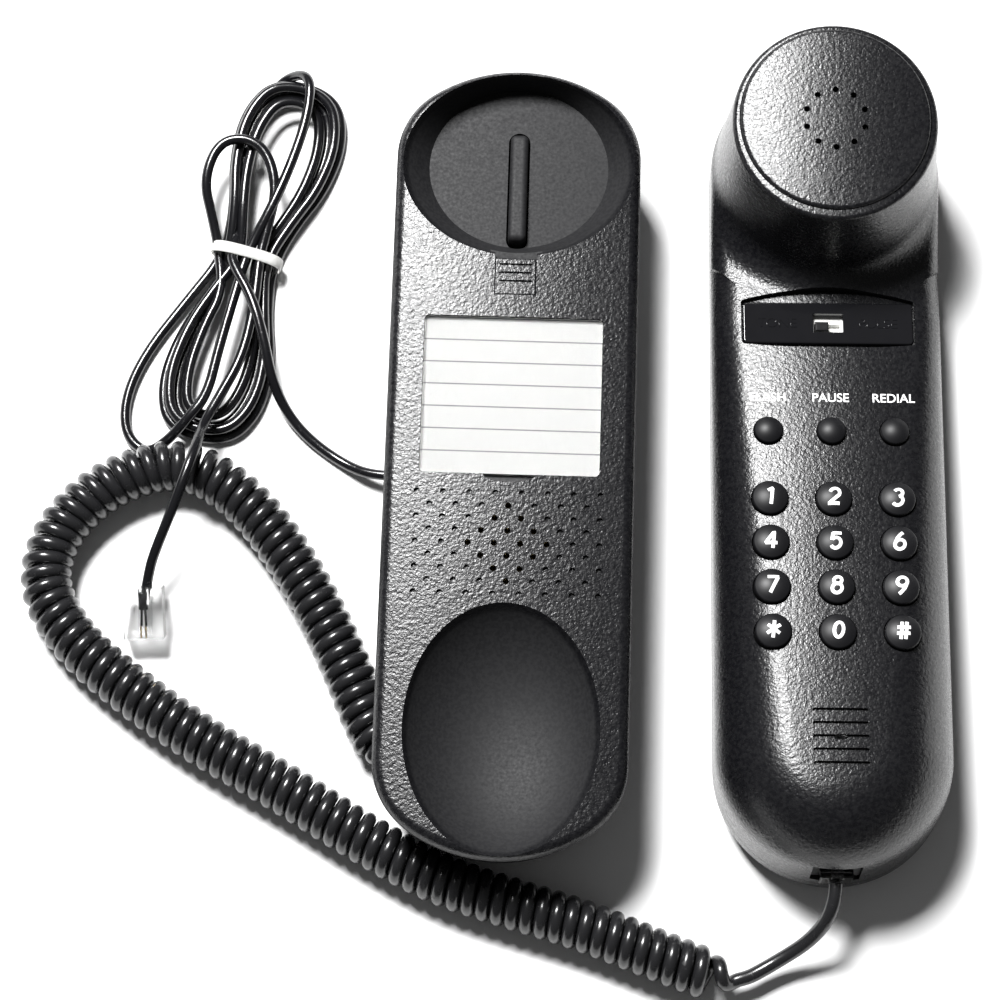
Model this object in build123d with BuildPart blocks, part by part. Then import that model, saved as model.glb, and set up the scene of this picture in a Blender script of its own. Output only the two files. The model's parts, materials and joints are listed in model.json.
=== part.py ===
from build123d import *
import os
from math import cos, pi, radians, sin, tan

# A slim corded telephone: a cradle base, and a handset with the keypad in its face.
# Millimetres. The origin is the centre of the base's underside, on the table.
# +Y runs along the base to the ear end, +X to the handset beside it, +Z up.
# The handset lies on its back. Its pieces are drawn with the keypad's face as the XY plane
# and its sides upright, and handset_place puts them beside the base.

# ---- driving dimensions: base ----
base_length = 195.4
base_width = 60.2
base_height = 29.0
base_end_radius = 38.0  # the flat curve across each end
base_corner_radius = 20.0  # from that curve into the straight sides
base_edge_round = 2.5
base_draft = 7.3  # degrees, the sides lean in towards the table
wall = 2.2
cover_thickness = 2.5
shell_gap = 0.15  # between two shells that close on each other
slack = 0.1  # round a piece that sits in a recess

ear_well_y = 72.4
ear_well_half_x = 28.3
ear_well_half_y = 23.6
ear_floor_y = 74.3
ear_floor_half_x = 22.0
ear_floor_half_y = 20.6
ear_floor_z = 20.8
ear_floor_tilt = 0.5

dish_y = -67.0
dish_half_x = 23.0
dish_half_y = 30.0
dish_depth = 13.0

card_y = 13.75
card_width = 42.7
card_length = 39.0
card_corner = 1.2
card_thickness = 0.3
window_thickness = 1.4
window_sink = 0.25  # how far the window lies below the base's top
thumb_width = 12.7
thumb_depth = 2.0

sound_rows = 9
sound_y = -22.75
sound_pitch_x = 6.2
sound_pitch_y = 3.06
sound_hole_radius = 0.75
dimple_depth = 0.8

tab_width = 9.9
tab_y = 39.0
tab_length = 9.2
tab_cap = 1.4
tab_flange_width = 12.4
tab_flange = 1.15
tab_travel = 4.5

hook_width = 4.4
hook_y = 54.6
hook_length = 28.2
hook_top = 24.3
hook_foot_z = 16.6
hook_arm_z = 14.6
hook_pin_y = 88.0
hook_pin_z = 12.9
hook_pin_radius = 1.0
hook_boss_radius = 2.5
hook_travel = 5.0  # degrees
hook_spring_y = 70.0
hook_spring_radius = 2.3
running_gap = 0.05

board_thickness = 1.6
base_board_width = 27.0
base_board_length = 70.0
base_board_y = 27.0
base_board_z = 7.5
hook_switch_size = 6.0
hook_switch_height = 4.4
hook_plunger_radius = 1.5
ringer_y = -22.8
ringer_radius = 12.6
ringer_height = 6.0
ringer_disc_radius = 11.2

screw_radius = 1.25
screw_head_radius = 2.4
screw_head_height = 1.2
screw_length = 9.0
post_radius = 3.0
base_post_x = 18.0
base_post_y = 42.5
keyhole_spacing = 83.0
keyhole_radius = 4.0
keyhole_slot_radius = 2.1
keyhole_slot_length = 9.0

# ---- driving dimensions: handset, in the frame of its face ----
handset_x = 76.9
handset_y = 1.6
handset_lean = 1.1  # degrees, turned from the base's line
face_tilt = 7.25  # degrees, the face rises towards the mouth
face_height = 24.4  # height of the face above the table at the middle
handset_width = 56.0
ear_y = 75.7
mouth_y = -69.0
neck_y = 38.0
neck_round = 6.0  # edge of the face beside the switch
mouth_round = 17.0  # edge of the face at the mouth
back_round = 7.0
cup_height = 29.4
cup_rim_radius = 24.5
cup_foot_radius = 27.9
cup_flare = 7.5
cup_tilt = 8.0  # degrees, the top of the cup leans towards the mouth
cup_side_round = 4.0
ear_cap_radius = 22.9
ear_cap_height = 1.9
ear_cap_sink = 1.2
ear_hole_count = 10
ear_hole_circle = 7.3
ear_hole_radius = 0.75
parting_height = 10.0  # of the shells' joint above the table
handset_screw_depth = 5.0  # of the screws' seats in the back

key_pitch_x = 15.1
key_pitch_y = 11.17
key_top_row_y = -10.4
key_radius = 4.25
key_rise = 2.2
key_gap = 0.3
key_travel = 1.2
key_flange = 0.8
key_flange_lip = 0.9
function_key_y = 7.1
function_key_radius = 3.4

plate_y = 36.0
plate_width = 41.4
plate_height = 11.0
plate_thickness = 1.2
plate_recess = 1.5
plate_arch = 3.2
plate_sag = 1.0
plate_corner = 1.0
slot_width = 7.3
slot_height = 4.9
slider_width = 3.2
slider_height = 2.4
slider_travel = 2.8
mic_slot_count = 5
mic_slot_length = 13.0
mic_slot_width = 1.1
mic_slot_pitch = 3.2
mic_slot_depth = 0.8
mic_y = -69.3
mic_radius = 4.85

board_width = 34.0
board_top = -6.4  # below the face
mat_thickness = 1.2
receiver_radius = 17.0
receiver_height = 7.0
foam_height = 3.0
jack_width = 11.4
jack_height = 9.4
jack_length = 13.0
plug_width = 7.7
plug_height = 6.6
plug_length = 12.0

# ---- driving dimensions: cords ----
coil_diameter = 12.6
coil_height = 6.45  # of the coil's centre line above the table
tail_diameter = 3.4
line_diameter = 2.6
hank_height = 8.4
tie_width = 2.8
tie_thickness = 0.6
line_plug_width = 9.65
line_plug_height = 6.6
line_plug_length = 12.4

os.makedirs("parts", exist_ok=True)
FAR = 120.0  # longer than any cut needs to be


def save(shape, name):
    """Labels a finished piece and writes it."""
    shape.label = name
    export_step(shape, f"parts/{name}.step")


def cylinder(radius, height, plane):
    """A round bar that rises from a plane."""
    with BuildPart() as bar:
        with BuildSketch(plane):
            Circle(radius)
        extrude(amount=height)
    return bar.part


def block(x, y, z, size_x, size_y, size_z, corner=0.0):
    """An upright block, centred on x and y, that rises from z, with its upright edges rounded."""
    with BuildPart() as made:
        with BuildSketch(Plane((x, y, z))):
            Rectangle(size_x, size_y)
        extrude(amount=size_z)
        if corner:
            fillet(made.edges().filter_by(Axis.Z), corner)
    return made.part


# ======== base ========
def draft_at(height):
    """How far the base's side has leaned in at a height."""
    return (base_height - height) * tan(radians(base_draft))


def base_prism(inset, bottom, top):
    """The base's tapering body, drawn in by inset, from one height to another."""
    drawn_in = inset + draft_at(top)
    half_x = base_width / 2 - drawn_in
    end_y = base_length / 2 - drawn_in
    radius = base_end_radius - drawn_in
    side_y = end_y - radius + (radius**2 - half_x**2) ** 0.5
    with BuildPart() as prism:
        with BuildSketch(Plane.XY.offset(top)) as plan:
            with BuildLine():
                Line((half_x, -side_y), (half_x, side_y))
                ThreePointArc((half_x, side_y), (0, end_y), (-half_x, side_y))
                Line((-half_x, side_y), (-half_x, -side_y))
                ThreePointArc((-half_x, -side_y), (0, -end_y), (half_x, -side_y))
            make_face()
            fillet(plan.vertices(), base_corner_radius - drawn_in)
        extrude(amount=bottom - top, taper=base_draft)
    return prism.part


def ear_well(grow):
    """The sloping round hollow for the ear cup, grown outwards and down by a wall."""
    floor = Plane(
        (0, ear_floor_y, ear_floor_z - grow),
        x_dir=(1, 0, 0),
        z_dir=(0, sin(radians(ear_floor_tilt)), cos(radians(ear_floor_tilt))),
    )
    with BuildPart() as well:
        with BuildSketch(Plane.XY.offset(base_height)) as mouth:
            with Locations((0, ear_well_y)):
                Ellipse(ear_well_half_x + grow, ear_well_half_y + grow)
        with BuildSketch(floor) as bottom:
            Ellipse(ear_floor_half_x + grow, ear_floor_half_y + grow)
        loft(ruled=True)
        extrude(mouth.sketch, amount=1.0)
    return well.part


def mouth_dish(grow):
    """The smooth oval hollow for the mouthpiece: a long round body that dips into the top."""
    rise = (dish_half_x**2 / dish_depth - dish_depth) / 2
    radius = dish_depth + rise
    long_radius = dish_half_y / (1 - (rise / radius) ** 2) ** 0.5
    with BuildPart() as dish:
        with BuildSketch(Plane.YZ):
            with BuildLine(Plane((dish_y, base_height + rise))):
                EllipticalCenterArc((0, 0), long_radius + grow, radius + grow, 180, arc_size=180)
                Line((-long_radius - grow, 0), (long_radius + grow, 0))
            make_face()
        revolve(axis=Axis((0, 0, base_height + rise), (0, 1, 0)))
    return dish.part


def cord_pocket(grow):
    """The pocket in the base's left side and underside that the curly cord starts in."""
    right = -20.8 + grow
    near, far = -74.0 - grow, -56.0 + grow
    left = -base_width / 2 - 5.0
    return block(
        (left + right) / 2, (near + far) / 2, -1, right - left, far - near, 14.8 + grow, 3.0
    )


coil_exit = (-24.4, -74.0, coil_height)  # on the pocket's end wall
coil_out = Vector(-0.574, 0.819, 0)
coil_exit_plane = Plane(coil_exit, z_dir=coil_out)
coil_collar = 3.4  # how far the strain relief reaches out of the wall
coil_neck_radius = 2.0
coil_hole_radius = coil_neck_radius + slack
line_exit_y = -0.5
line_exit_z = 5.0
line_exit_x = -base_width / 2 + draft_at(line_exit_z)
line_exit_plane = Plane((line_exit_x, line_exit_y, line_exit_z), z_dir=(-1, 0, 0))
line_neck_radius = 1.9
line_collar = 1.4

card_top = base_height - window_sink
card_floor = card_top - window_thickness - card_thickness - 0.1
tab_top = base_height - 0.2
tab_flange_top = tab_top - tab_cap
tab_floor = tab_flange_top - tab_flange - slack
cavity_top = base_height - wall
post_points = [(x, y) for x in (-base_post_x, base_post_x) for y in (-base_post_y, base_post_y)]

# pieces that hang inside the shell are cut out of its hollow, so that they stay solid
hollow = base_prism(wall, cover_thickness, cavity_top)
hollow -= ear_well(wall)
hollow -= mouth_dish(wall)
hollow -= cord_pocket(wall)
hollow -= block(
    0, card_y, card_floor - wall, card_width + 2 * wall, card_length + 2 * wall, FAR, 2.0
)
hollow -= block(0, tab_y + tab_length / 2, tab_floor - wall, tab_flange_width + 2 * wall, 20.0, FAR)

with BuildPart() as shell:
    add(base_prism(0, cover_thickness, base_height))
    top_rim = shell.faces().sort_by(Axis.Z)[-1].edges()
    fillet(top_rim, base_edge_round)
    add(hollow, mode=Mode.SUBTRACT)
    # screw posts under the top
    with BuildSketch(Plane.XY.offset(cover_thickness + shell_gap)):
        with Locations(*post_points):
            Circle(post_radius)
    extrude(amount=cavity_top - cover_thickness)
    # ears that carry the hook lever's pin
    with BuildSketch(Plane.XY.offset(hook_pin_z - hook_boss_radius)):
        with Locations((-4.4, hook_pin_y), (4.4, hook_pin_y)):
            Rectangle(2.4, 6.0)
    extrude(amount=ear_floor_z - wall - hook_pin_z + hook_boss_radius + 0.6)
    # ring that holds the ringer under the sound holes
    with BuildSketch(Plane.XY.offset(cavity_top - 2.0)):
        with Locations((0, ringer_y)):
            Circle(ringer_radius + wall)
            Circle(ringer_radius + slack, mode=Mode.SUBTRACT)
    extrude(amount=2.0 + wall / 2)
    add(ear_well(0), mode=Mode.SUBTRACT)
    add(mouth_dish(0), mode=Mode.SUBTRACT)
    add(cord_pocket(0), mode=Mode.SUBTRACT)
    # recess for the card and its window, with a notch for a thumbnail
    with BuildSketch(Plane.XY.offset(card_floor)) as card_recess:
        with Locations((0, card_y)):
            RectangleRounded(card_width + 2 * slack, card_length + 2 * slack, card_corner)
    extrude(amount=FAR, mode=Mode.SUBTRACT)
    with BuildSketch(Plane.XY.offset(card_top - window_thickness)):
        with Locations((0, card_y - card_length / 2)):
            Ellipse(thumb_width / 2, thumb_depth)
    extrude(amount=FAR, mode=Mode.SUBTRACT)
    # channel that the hanger tab slides in
    channel_y = tab_y - slack
    channel_length = tab_length + tab_travel + 3 * slack
    with BuildSketch(Plane.XY.offset(tab_floor)):
        with Locations((0, channel_y)):
            Rectangle(tab_flange_width + 2 * slack, channel_length, align=(Align.CENTER, Align.MIN))
    extrude(amount=tab_flange + 2 * slack, mode=Mode.SUBTRACT)
    with BuildSketch(Plane.XY.offset(tab_floor)):
        with Locations((0, channel_y)):
            Rectangle(tab_width + 2 * slack, channel_length, align=(Align.CENTER, Align.MIN))
    extrude(amount=FAR, mode=Mode.SUBTRACT)
    # slot in the well's floor that the hook lever stands in
    with BuildSketch(Plane.XY.offset(hook_foot_z - wall)):
        with Locations((0, hook_y + hook_length / 2 - 0.3)):
            SlotOverall(hook_length + 2.4, hook_width + 0.9, rotation=90)
    extrude(amount=base_height, mode=Mode.SUBTRACT)
    # pin holes through the ears
    with BuildSketch(Plane.YZ.offset(-10)):
        with Locations((hook_pin_y, hook_pin_z)):
            Circle(hook_pin_radius)
    extrude(amount=20, mode=Mode.SUBTRACT)
    # screw holes up into the posts
    with BuildSketch(Plane.XY.offset(cover_thickness)):
        with Locations(*post_points):
            Circle(screw_radius + running_gap)
    extrude(amount=screw_length, mode=Mode.SUBTRACT)
    # cord outlets
    with BuildSketch(line_exit_plane.offset(-wall - 4)):
        Circle(line_neck_radius + slack)
    extrude(amount=wall + 8, mode=Mode.SUBTRACT)
    with BuildSketch(coil_exit_plane.offset(-6)):
        Circle(coil_hole_radius)
    extrude(amount=8, mode=Mode.SUBTRACT)

# rows of sound holes: a diamond of them goes right through, the rest are dimples
open_points, dimple_points = [], []
for row in range(sound_rows):
    count = 8 - row % 2
    opened = max(0, sound_rows // 2 - abs(row - sound_rows // 2))
    y = sound_y + (row - sound_rows // 2) * sound_pitch_y
    for column in range(count):
        across = column - (count - 1) / 2
        points = open_points if abs(across) < opened / 2 else dimple_points
        points.append((across * sound_pitch_x, y))
with BuildPart() as base_shell:
    add(shell.part)
    with BuildSketch(Plane.XY.offset(cavity_top - wall)):
        with Locations(*open_points):
            Circle(sound_hole_radius)
    extrude(amount=FAR, mode=Mode.SUBTRACT)
    with BuildSketch(Plane.XY.offset(base_height - dimple_depth)):
        with Locations(*dimple_points):
            Circle(sound_hole_radius)
    extrude(amount=FAR, mode=Mode.SUBTRACT)
save(base_shell.part, "base_shell")

lip_inset = wall + shell_gap
with BuildPart() as cover:
    add(base_prism(0.4, 0, cover_thickness - shell_gap))
    chamfer(cover.faces().sort_by(Axis.Z)[0].edges(), 0.8)
    # a lip inside the shell's wall
    add(base_prism(lip_inset, cover_thickness - shell_gap, cover_thickness + 3.0))
    add(
        base_prism(lip_inset + 1.2, cover_thickness - shell_gap, cover_thickness + 4.0),
        mode=Mode.SUBTRACT,
    )
    add(cord_pocket(wall + shell_gap), mode=Mode.SUBTRACT)
    # the lip is left out beside the cord outlets
    add(block(-base_width / 2, line_exit_y, cover_thickness, 16, 8, 6), mode=Mode.SUBTRACT)
    add(block(-base_width / 2, -76.0, cover_thickness, 20, 16, 6), mode=Mode.SUBTRACT)
    # posts under the circuit board, the spring and its peg
    board_posts = [(x, y) for x in (-10.0, 10.0) for y in (-4.0, 58.0)]
    with BuildSketch(Plane.XY.offset(cover_thickness - shell_gap)):
        with Locations(*board_posts):
            Circle(post_radius)
    extrude(amount=base_board_z - cover_thickness + shell_gap)
    with BuildSketch(Plane.XY.offset(cover_thickness - shell_gap)):
        with Locations((0, hook_spring_y)):
            Circle(hook_spring_radius - 0.8)
    extrude(amount=3.0)
    with BuildSketch(Plane.XY.offset(base_board_z - 5.0)):
        with Locations(*board_posts):
            Circle(1.05)
    extrude(amount=10, mode=Mode.SUBTRACT)
    # screw holes with sunk heads
    with BuildSketch(Plane.XY):
        with Locations(*post_points):
            Circle(screw_radius + 0.15)
    extrude(amount=cover_thickness, mode=Mode.SUBTRACT)
    with BuildSketch(Plane.XY):
        with Locations(*post_points):
            Circle(screw_head_radius + 0.2)
    extrude(amount=screw_head_height + 0.2, mode=Mode.SUBTRACT)
    # two keyholes for the wall
    with BuildSketch(Plane.XY):
        with Locations((0, -keyhole_spacing / 2), (0, keyhole_spacing / 2)):
            Circle(keyhole_radius)
        with Locations(*[(0, y + keyhole_slot_length / 2) for y in (-keyhole_spacing / 2, keyhole_spacing / 2)]):
            SlotCenterToCenter(keyhole_slot_length, 2 * keyhole_slot_radius, rotation=90)
    extrude(amount=cover_thickness, mode=Mode.SUBTRACT)
save(cover.part, "base_cover")


def screw(plane, length):
    """A round-headed screw whose head's underside lies on a plane and whose shank rises from it."""
    with BuildPart() as made:
        with BuildSketch(plane.offset(-screw_head_height)):
            Circle(screw_head_radius)
        extrude(amount=screw_head_height)
        fillet(made.edges().filter_by(GeomType.CIRCLE).sort_by(Axis(plane.origin, plane.z_dir))[0], 0.5)
        with BuildSketch(plane):
            Circle(screw_radius)
        extrude(amount=length)
        with BuildSketch(plane.offset(-screw_head_height)):
            Rectangle(2.6, 0.5)
            Rectangle(0.5, 2.6)
        extrude(amount=0.6, mode=Mode.SUBTRACT)
    return made.part


head_seat = screw_head_height + 0.2
base_screws = [screw(Plane((x, y, head_seat)), screw_length) for x, y in post_points]
save(Compound(base_screws), "base_screws")

with BuildPart() as card:
    with BuildSketch(Plane.XY.offset(card_floor)):
        with Locations((0, card_y)):
            RectangleRounded(card_width - 2 * slack, card_length - 2 * slack, card_corner)
    extrude(amount=card_thickness)
save(card.part, "index_card")

with BuildPart() as window:
    with BuildSketch(Plane.XY.offset(card_top - window_thickness)):
        with Locations((0, card_y)):
            RectangleRounded(card_width, card_length, card_corner)
    extrude(amount=window_thickness)
    chamfer(window.faces().sort_by(Axis.Z)[-1].edges(), 0.3)
save(window.part, "card_window")

with BuildPart() as tab:
    with BuildSketch(Plane.XY.offset(tab_flange_top - tab_flange)):
        with Locations((0, tab_y)):
            Rectangle(tab_flange_width, tab_length, align=(Align.CENTER, Align.MIN))
    extrude(amount=tab_flange)
    with BuildSketch(Plane.XY.offset(tab_flange_top - 0.2)):
        with Locations((0, tab_y)):
            Rectangle(tab_width, tab_length, align=(Align.CENTER, Align.MIN))
    extrude(amount=tab_top - tab_flange_top + 0.2)
    tab_face = tab.faces().sort_by(Axis.Z)[-1]
    fillet(tab_face.edges(), 0.3)
    with BuildSketch(Plane.XY.offset(tab_top - 0.6)):
        with Locations(*[(0, tab_y + 3.3 + 2.1 * n) for n in range(3)]):
            Rectangle(tab_width - 2.0, 0.9)
    extrude(amount=2, mode=Mode.SUBTRACT)
save(tab.part, "hanger_tab")

# hook lever: a long rib that stands in the ear well, on an arm that turns on the pin
floor_under_pin = ear_floor_z - wall - (hook_pin_y - ear_floor_y) * tan(radians(ear_floor_tilt))
with BuildPart() as lever:
    with BuildSketch(Plane.YZ.offset(-hook_width / 2)) as side:
        with BuildLine():
            Polyline(
                (hook_y, hook_foot_z),
                (hook_spring_y - 4.5, hook_foot_z),
                (hook_spring_y - 3.5, hook_arm_z),
                (hook_spring_y + 3.5, hook_arm_z),
                (hook_pin_y - 3.0, hook_pin_z - hook_boss_radius + 0.3),
                (hook_pin_y, hook_pin_z - hook_boss_radius + 0.3),
                (hook_pin_y, floor_under_pin - 0.7),
                (hook_y + hook_length + 0.4, floor_under_pin - 0.3),
                (hook_y + hook_length, hook_top - 1.8),
                (hook_y, hook_top),
                close=True,
            )
        make_face()
        top_corners = side.vertices().sort_by(Axis.Y)[-2:]
        fillet(top_corners, 1.6)
        with Locations((hook_pin_y, hook_pin_z)):
            Circle(hook_boss_radius - 0.3)
            Circle(hook_pin_radius + running_gap, mode=Mode.SUBTRACT)
    extrude(amount=hook_width)
    rib_edges = lever.edges().filter_by(lambda e: e.center().Z > ear_floor_z + 2.2)
    fillet(rib_edges.filter_by(lambda e: abs(e.center().X) > 1), 1.4)
save(lever.part, "hook_lever")

save(cylinder(hook_pin_radius, 11.2, Plane.YZ.offset(-5.6) * Pos(hook_pin_y, hook_pin_z, 0)), "hook_pin")

with BuildPart() as spring:
    with BuildSketch(Plane((0, hook_spring_y, cover_thickness + slack))):
        Circle(hook_spring_radius)
        Circle(hook_spring_radius - 0.6, mode=Mode.SUBTRACT)
    extrude(amount=hook_arm_z - cover_thickness - 2 * slack)
save(spring.part, "hook_spring")

board_top_z = base_board_z + board_thickness
switch_y = hook_y + hook_switch_size / 2 - 0.3
switch_top = board_top_z + hook_switch_height
with BuildPart() as base_board:
    with BuildSketch(Plane.XY.offset(base_board_z)):
        with Locations((0, base_board_y)):
            RectangleRounded(base_board_width, base_board_length, 2.0)
        with Locations(*board_posts):
            Circle(1.2, mode=Mode.SUBTRACT)
    extrude(amount=board_thickness)
    # capacitor, bridge and terminal block
    with BuildSketch(Plane.XY.offset(board_top_z)):
        with Locations((-7, 12), (6, 8), (5, 20)):
            Rectangle(8, 7)
    extrude(amount=5.0)
save(base_board.part, "base_circuit_board")
board_screw_list = [
    cylinder(1.0, 4.5 + board_thickness, Plane((x, y, base_board_z - 4.5)))
    + cylinder(1.9, 1.0, Plane((x, y, board_top_z)))
    for x, y in board_posts
]
save(Compound(board_screw_list), "board_screws")
switch_hole_radius = hook_plunger_radius + running_gap
with BuildPart() as hook_switch:
    with BuildSketch(Plane((0, switch_y, board_top_z))):
        RectangleRounded(hook_switch_size, hook_switch_size, 0.5)
    extrude(amount=hook_switch_height)
    with BuildSketch(Plane((0, switch_y, board_top_z + 0.8))):
        Circle(switch_hole_radius)
    extrude(amount=FAR, mode=Mode.SUBTRACT)
save(hook_switch.part, "hook_switch")
plunger_bottom = switch_top - 0.4
save(
    cylinder(hook_plunger_radius, hook_foot_z - 0.15 - plunger_bottom, Plane((0, switch_y, plunger_bottom))),
    "hook_switch_plunger",
)

with BuildPart() as ringer_case:
    with BuildSketch(Plane((0, ringer_y, cavity_top - ringer_height))):
        Circle(ringer_radius)
    extrude(amount=ringer_height)
    with BuildSketch(Plane((0, ringer_y, cavity_top - ringer_height + 1.2))):
        Circle(ringer_radius - 2.4)
    extrude(amount=ringer_height, mode=Mode.SUBTRACT)
    with BuildSketch(Plane((0, ringer_y, cavity_top - 2.4))):
        Circle(ringer_disc_radius + slack)
    extrude(amount=ringer_height, mode=Mode.SUBTRACT)
save(ringer_case.part, "ringer_case")
save(cylinder(ringer_disc_radius, 0.5, Plane((0, ringer_y, cavity_top - 2.4))), "ringer_disc")

with BuildPart() as line_relief:
    with BuildSketch(line_exit_plane.offset(-wall - 2.2)):
        Rectangle(2 * line_neck_radius + 1.2, 2 * line_neck_radius + 1.2)
    extrude(amount=1.6)
    with BuildSketch(line_exit_plane.offset(-wall - 0.6)):
        Circle(line_neck_radius)
    extrude(amount=wall + 0.6 + line_collar, taper=3)
save(line_relief.part, "line_cord_relief")

with BuildPart() as coil_relief:
    with BuildSketch(coil_exit_plane.offset(-4.6)):
        Circle(coil_neck_radius)
    extrude(amount=4.6 + coil_collar)
save(coil_relief.part, "coil_cord_relief")


# ======== handset ========
tilt = radians(face_tilt)
handset_place = Pos(handset_x, handset_y, face_height) * Rot(Z=handset_lean) * Rot(X=-face_tilt)


def across(y):
    """The upright plane across the handset at one place along it."""
    return Plane((0, y, 0), x_dir=(-1, 0, 0), z_dir=(0, 1, 0))


def rest_plane(height):
    """A plane level with the table, at that height above it."""
    return Plane(
        (0, 0, (height - face_height) / cos(tilt)), x_dir=(1, 0, 0), z_dir=(0, -sin(tilt), cos(tilt))
    )


def across_outline(y, inset, corner):
    """The handset's outline across its length, with its two upper corners rounded."""
    half = handset_width / 2 - inset
    with BuildSketch(across(y)) as outline:
        with BuildLine():
            Polyline((-half, -45), (half, -45), (half, -inset), (-half, -inset), close=True)
        make_face()
        fillet(outline.vertices().group_by(Axis.Y)[-1], corner - inset)
    return outline.sketch


def round_end(y, inset, corner):
    """A round end with the same upper edge as the outline across it."""
    half = handset_width / 2 - inset
    with BuildPart() as end:
        with BuildSketch(Plane((0, y, 0), x_dir=(1, 0, 0), z_dir=(0, -1, 0))) as profile:
            with BuildLine():
                Polyline((0, -45), (half, -45), (half, -inset), (0, -inset), close=True)
            make_face()
            fillet(profile.vertices().sort_by_distance((half, -inset, 0))[0], corner - inset)
        revolve(axis=Axis((0, y, 0), (0, 0, 1)))
    return end.part


def across_ear(depth):
    """A plane across the ear cup, a depth below its leaning top."""
    lean = radians(cup_tilt)
    top = Plane((0, ear_y, cup_height), x_dir=(1, 0, 0), z_dir=(0, -sin(lean), cos(lean)))
    return top.offset(-depth)


def ear_cup(inset):
    """The cup that stands on the ear end, with a hollow curve where it meets the face."""
    rim = cup_rim_radius - inset
    foot = cup_foot_radius - inset
    hollow_curve = cup_flare + inset
    skirt = foot + 1.2 * hollow_curve
    taller = 1.2  # share of the cup's height that it is made to before its top is cut
    with BuildPart() as cup:
        with BuildSketch(Plane((0, ear_y, 0), x_dir=(1, 0, 0), z_dir=(0, -1, 0))) as profile:
            with BuildLine():
                Polyline(
                    (0, -8),
                    (0, taller * cup_height),
                    (foot - taller * (foot - rim), taller * cup_height),
                    (foot, -inset),
                    (skirt, -inset),
                    (skirt, -8),
                    close=True,
                )
            make_face()
            fillet(profile.vertices().sort_by_distance((foot, -inset, 0))[0], hollow_curve)
        revolve(axis=Axis((0, ear_y, 0), (0, 0, 1)))
        split(bisect_by=across_ear(inset), keep=Keep.BOTTOM)
        fillet(cup.faces().sort_by(Axis.Z)[-1].edges(), 1.0)
    with BuildPart() as plan:
        with BuildSketch(Plane.XY.offset(-60)):
            with Locations((0, (ear_y + mouth_y) / 2)):
                SlotCenterToCenter(ear_y - mouth_y, handset_width - 2 * inset, rotation=90)
        extrude(amount=FAR)
    return cup.part & plan.part


def handset_form(inset):
    """The whole handset, drawn in by inset all round."""
    with BuildPart() as form:
        extrude(across_outline(neck_y, inset, neck_round), amount=ear_y - neck_y, dir=(0, 1, 0))
        loft(
            [across_outline(mouth_y, inset, mouth_round), across_outline(neck_y, inset, neck_round)],
            ruled=True,
        )
        add(round_end(ear_y, inset, neck_round))
        add(round_end(mouth_y, inset, mouth_round))
        add(ear_cup(inset))
        split(bisect_by=rest_plane(inset), keep=Keep.TOP)
        back = rest_plane(inset)
        back_edges = form.edges().filter_by(lambda e: abs(back.to_local_coords(e.center()).Z) < 0.05)
        fillet(back_edges, back_round - inset)
        if inset == 0:
            half = handset_width / 2
            beside_cup = form.edges().filter_by(
                lambda e: 0.1 < e.center().Z < 15
                and (abs(abs(e.center().X) - half) < 0.3 or e.center().Y > ear_y + half - 2)
            )
            fillet(beside_cup, cup_side_round)
    return form.part


key_rows = [key_top_row_y - row * key_pitch_y for row in range(4)]
key_columns = [-key_pitch_x, 0.0, key_pitch_x]
number_points = [(x, y) for y in key_rows for x in key_columns]
function_points = [(x, function_key_y) for x in key_columns]
mat_floor = board_top
key_floor = mat_floor + mat_thickness + key_travel + 0.15
plate_floor = -plate_recess
jack_z = rest_plane(14.0).origin.Z + mouth_y * tan(tilt)
jack_end_y = mouth_y - handset_width / 2 + 1.2
handset_posts = [(x, y) for x in (-20.5, 20.5) for y in (24.0, -52.0)]


def back_z(y):
    """Height of the handset's back, in the face's frame."""
    return (y * sin(tilt) - face_height) / cos(tilt)


outer = handset_form(0)
inner = handset_form(wall)
parting = rest_plane(parting_height)
front_block = split(outer - inner, bisect_by=parting.offset(shell_gap / 2), keep=Keep.TOP)
back_block = split(outer - inner, bisect_by=parting.offset(-shell_gap / 2), keep=Keep.BOTTOM)
jack_opening = block(0, jack_end_y, jack_z - jack_height / 2 - slack, jack_width + 2 * slack, 8.0, jack_height + 2 * slack, 0.5)
top_part_of_inner = split(inner, bisect_by=parting.offset(shell_gap / 2), keep=Keep.TOP)

# posts that reach from under the face to the joint
with BuildPart() as front_posts:
    with BuildSketch(Plane.XY.offset(-45)):
        with Locations(*handset_posts):
            Circle(post_radius)
    extrude(amount=45 - wall / 2)
    add(outer, mode=Mode.INTERSECT)
    split(bisect_by=parting.offset(shell_gap / 2), keep=Keep.TOP)

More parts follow.
